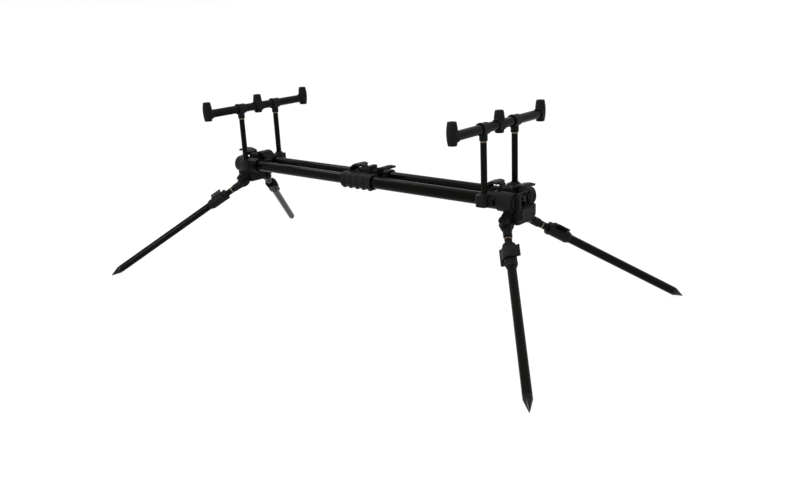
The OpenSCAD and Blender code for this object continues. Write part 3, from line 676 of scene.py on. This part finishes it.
def thread(low, high):
    """The ridge of an inside thread, swept round and up between two points of its axis."""
    shape = bmesh.new()
    first = low.z + THREAD_FOOT_HALF
    foot_r = THREAD_FOOT_R + THREAD_BITE
    outline = ((foot_r, -THREAD_FOOT_HALF), (THREAD_CREST_R, -THREAD_CREST_HALF),
               (THREAD_CREST_R, THREAD_CREST_HALF), (foot_r, THREAD_FOOT_HALF))
    points = [shape.verts.new((low.x + radius, low.y, first + rise)) for radius, rise in outline]
    face = shape.faces.new(points)
    turns = math.floor((high.z - low.z - 2 * THREAD_FOOT_HALF) / THREAD_PITCH)
    bmesh.ops.spin(shape, geom=points + list(face.edges) + [face], cent=(low.x, low.y, 0),
                   axis=(0, 0, 1), dvec=(0, 0, THREAD_PITCH / THREAD_STEPS),
                   angle=2 * math.pi * turns, steps=turns * THREAD_STEPS, use_merge=False)
    bmesh.ops.recalc_face_normals(shape, faces=shape.faces)
    return shape


def threaded_bush(foot, top):
    """A turned bush with its upper rims taken off, and the thread inside it."""
    long = top.z - foot.z
    bush = [(0, THREAD_FOOT_R), (0, INSERT_R), (long - DEBURR, INSERT_R), (long, INSERT_R - DEBURR),
            (long, THREAD_FOOT_R + DEBURR), (long - DEBURR, THREAD_FOOT_R)]
    return joined([turned(bush, foot, (0, 0, 1)), thread(foot, top)])


for side in ("right", "left"):
    low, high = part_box(side + "_bar_tube")
    radius = (high.z - low.z) / 2
    bar_x = low.x + radius
    bar_z = low.z + radius
    piece = place(tube((bar_x, low.y, bar_z), (0, 1, 0), high.y - low.y, radius, BAR_WALL),
                  side + "_bar_drawn", bar_finish, side + "_bar")
    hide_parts(side + "_bar_tube")

    low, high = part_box(side + "_uprights")
    radius = (high.x - low.x) / 2
    upright_y = high.y - radius
    pair = joined([tube((bar_x, way * upright_y, low.z), (0, 0, 1), high.z - low.z, radius, BAR_WALL)
                   for way in (-1, 1)])
    piece = place(pair, side + "_uprights_drawn", upright_finish, side + "_bar")
    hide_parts(side + "_uprights")
    trim_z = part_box(side + "_bar_tees")[0].z - TRIM_BELOW
    trims = [ring((bar_x, way * upright_y, trim_z), (0, 0, 1), radius, RING_WIDTH, RING_PROUD)
             for way in (-1, 1)]
    place(joined(trims), side + "_upright_rings", bronze_finish, side + "_bar")

    softened(side + "_bar_tees", casting_finish, BAR_CELL)
    softened(side + "_bar_bosses", rubber_finish, BAR_CELL)
    low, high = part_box(side + "_thread_inserts")
    boss_low, boss_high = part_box(side + "_bar_bosses")
    reach = high.y - INSERT_R
    bushes = []
    rims = []
    for y in (-reach, 0, reach):
        bushes.append(threaded_bush(Vector((bar_x, y, low.z)), Vector((bar_x, y, high.z))))
        for z in (boss_high.z - 2 * BOSS_RIM_WIDTH, boss_low.z + BOSS_RIM_WIDTH):
            rims.append(ring((bar_x, y, z), (0, 0, 1), BOSS_RIM_R, BOSS_RIM_WIDTH, RING_PROUD))
    piece = place(joined(bushes), side + "_threaded_bushes", brass_finish, side + "_bar")
    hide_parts(side + "_thread_inserts")
    place(joined(rims), side + "_boss_rims", rubber_finish, side + "_bar")


# Studio: a white floor that keeps a faint shadow, two softboxes and the camera.
# The camera stands where the photograph was taken from, and the softboxes draw a thin
# highlight along the upper side of each tube.
FLOOR_HALF = 100.0
FLOOR_GREY = (0.2, 0.2, 0.2, 1.0)
FLOOR_ROUGH = 0.9
FLOOR_GLOW = 0.88
WHITE = (1.0, 1.0, 1.0, 1.0)
floor_shape = bmesh.new()
bmesh.ops.create_grid(floor_shape, x_segments=1, y_segments=1, size=FLOOR_HALF)
floor_mesh = bpy.data.meshes.new("studio_floor")
floor_shape.to_mesh(floor_mesh)
floor_shape.free()
floor = bpy.data.objects.new("studio_floor", floor_mesh)
bpy.context.scene.collection.objects.link(floor)


def seen_ray(tree):
    """1 for rays of the camera, gloss and glass, which show the white studio, and 0 for others."""
    path = tree.nodes.new("ShaderNodeLightPath")
    either = tree.nodes.new("ShaderNodeMath")
    either.operation = "MAXIMUM"
    any_of = tree.nodes.new("ShaderNodeMath")
    any_of.operation = "MAXIMUM"
    tree.links.new(path.outputs["Is Camera Ray"], either.inputs[0])
    tree.links.new(path.outputs["Is Glossy Ray"], either.inputs[1])
    tree.links.new(either.outputs[0], any_of.inputs[0])
    tree.links.new(path.outputs["Is Transmission Ray"], any_of.inputs[1])
    return any_of.outputs[0]


floor_finish = bpy.data.materials.new("studio_white")
floor_finish.use_nodes = True
floor_tree = floor_finish.node_tree
floor_shader = floor_tree.nodes["Principled BSDF"]
floor_shader.inputs["Base Color"].default_value = FLOOR_GREY
floor_shader.inputs["Roughness"].default_value = FLOOR_ROUGH
floor_shader.inputs["Specular IOR Level"].default_value = 0.0
floor_shader.inputs["Emission Color"].default_value = WHITE
lit = floor_tree.nodes.new("ShaderNodeMath")
lit.operation = "MULTIPLY"
lit.inputs[1].default_value = FLOOR_GLOW
floor_tree.links.new(seen_ray(floor_tree), lit.inputs[0])
floor_tree.links.new(lit.outputs[0], floor_shader.inputs["Emission Strength"])
floor_mesh.materials.append(floor_finish)

# The sky's own light grows from the horizon to the ceiling; heights are of a direction, from 0 to 1.
HORIZON_HEIGHT = 0.1
HORIZON_LIGHT = 0.25
CEILING_HEIGHT = 0.95
CEILING_LIGHT = 1.0
world = bpy.data.worlds.new("studio")
world.use_nodes = True
bpy.context.scene.world = world
world_tree = world.node_tree
sky = world_tree.nodes["Background"]
sky.inputs["Color"].default_value = WHITE
where = world_tree.nodes.new("ShaderNodeTexCoord")
parts = world_tree.nodes.new("ShaderNodeSeparateXYZ")
world_tree.links.new(where.outputs["Generated"], parts.inputs["Vector"])
ceiling = world_tree.nodes.new("ShaderNodeMapRange")
ceiling.inputs["From Min"].default_value = HORIZON_HEIGHT
ceiling.inputs["From Max"].default_value = CEILING_HEIGHT
ceiling.inputs["To Min"].default_value = HORIZON_LIGHT
ceiling.inputs["To Max"].default_value = CEILING_LIGHT
world_tree.links.new(parts.outputs["Z"], ceiling.inputs["Value"])
level = world_tree.nodes.new("ShaderNodeMix")
level.inputs["B"].default_value = 1.0
world_tree.links.new(seen_ray(world_tree), level.inputs["Factor"])
world_tree.links.new(ceiling.outputs["Result"], level.inputs["A"])
world_tree.links.new(level.outputs["Result"], sky.inputs["Strength"])

SOFTBOX_AIM = (0, 0, 0.2)
SOFTBOX_SIZE = 0.6


def softbox(name, spot, power):
    """A square area lamp that points at the object."""
    lamp = bpy.data.lights.new(name, "AREA")
    lamp.size = SOFTBOX_SIZE
    lamp.energy = power
    holder = bpy.data.objects.new(name, lamp)
    bpy.context.scene.collection.objects.link(holder)
    way = Vector(SOFTBOX_AIM) - Vector(spot)
    holder.matrix_world = Matrix.Translation(spot) @ way.to_track_quat("-Z", "Y").to_matrix().to_4x4()


softbox("rear_softbox", spot=(-2.2, 0.4, 2.6), power=9.0)
softbox("front_softbox", spot=(0.0, -3.6, 2.2), power=48.0)

CAMERA_SPOT = Vector((1.35257, -1.46475, 0.72369))
CAMERA_AZIMUTH = math.radians(41.023)
CAMERA_RISE = math.radians(17.44)
CAMERA_ROLL = math.radians(-2.841)
FOCAL_PIXELS = 823.145
FRAME_WIDTH = 790
SENSOR_WIDTH = 36.0
camera = bpy.data.cameras.new("photo_camera")
camera.sensor_width = SENSOR_WIDTH
camera.lens = FOCAL_PIXELS * SENSOR_WIDTH / FRAME_WIDTH
viewer = bpy.data.objects.new("photo_camera", camera)
bpy.context.scene.collection.objects.link(viewer)
back = Vector((math.sin(CAMERA_AZIMUTH) * math.cos(CAMERA_RISE),
               -math.cos(CAMERA_AZIMUTH) * math.cos(CAMERA_RISE), math.sin(CAMERA_RISE)))
right = Vector((0, 0, 1)).cross(back).normalized()
up = back.cross(right)
stand = Matrix((right, up, back)).transposed().to_4x4()
viewer.matrix_world = Matrix.Translation(CAMERA_SPOT) @ stand @ Matrix.Rotation(CAMERA_ROLL, 4, "Z")
bpy.context.scene.camera = viewer
bpy.context.scene.view_settings.view_transform = "Standard"
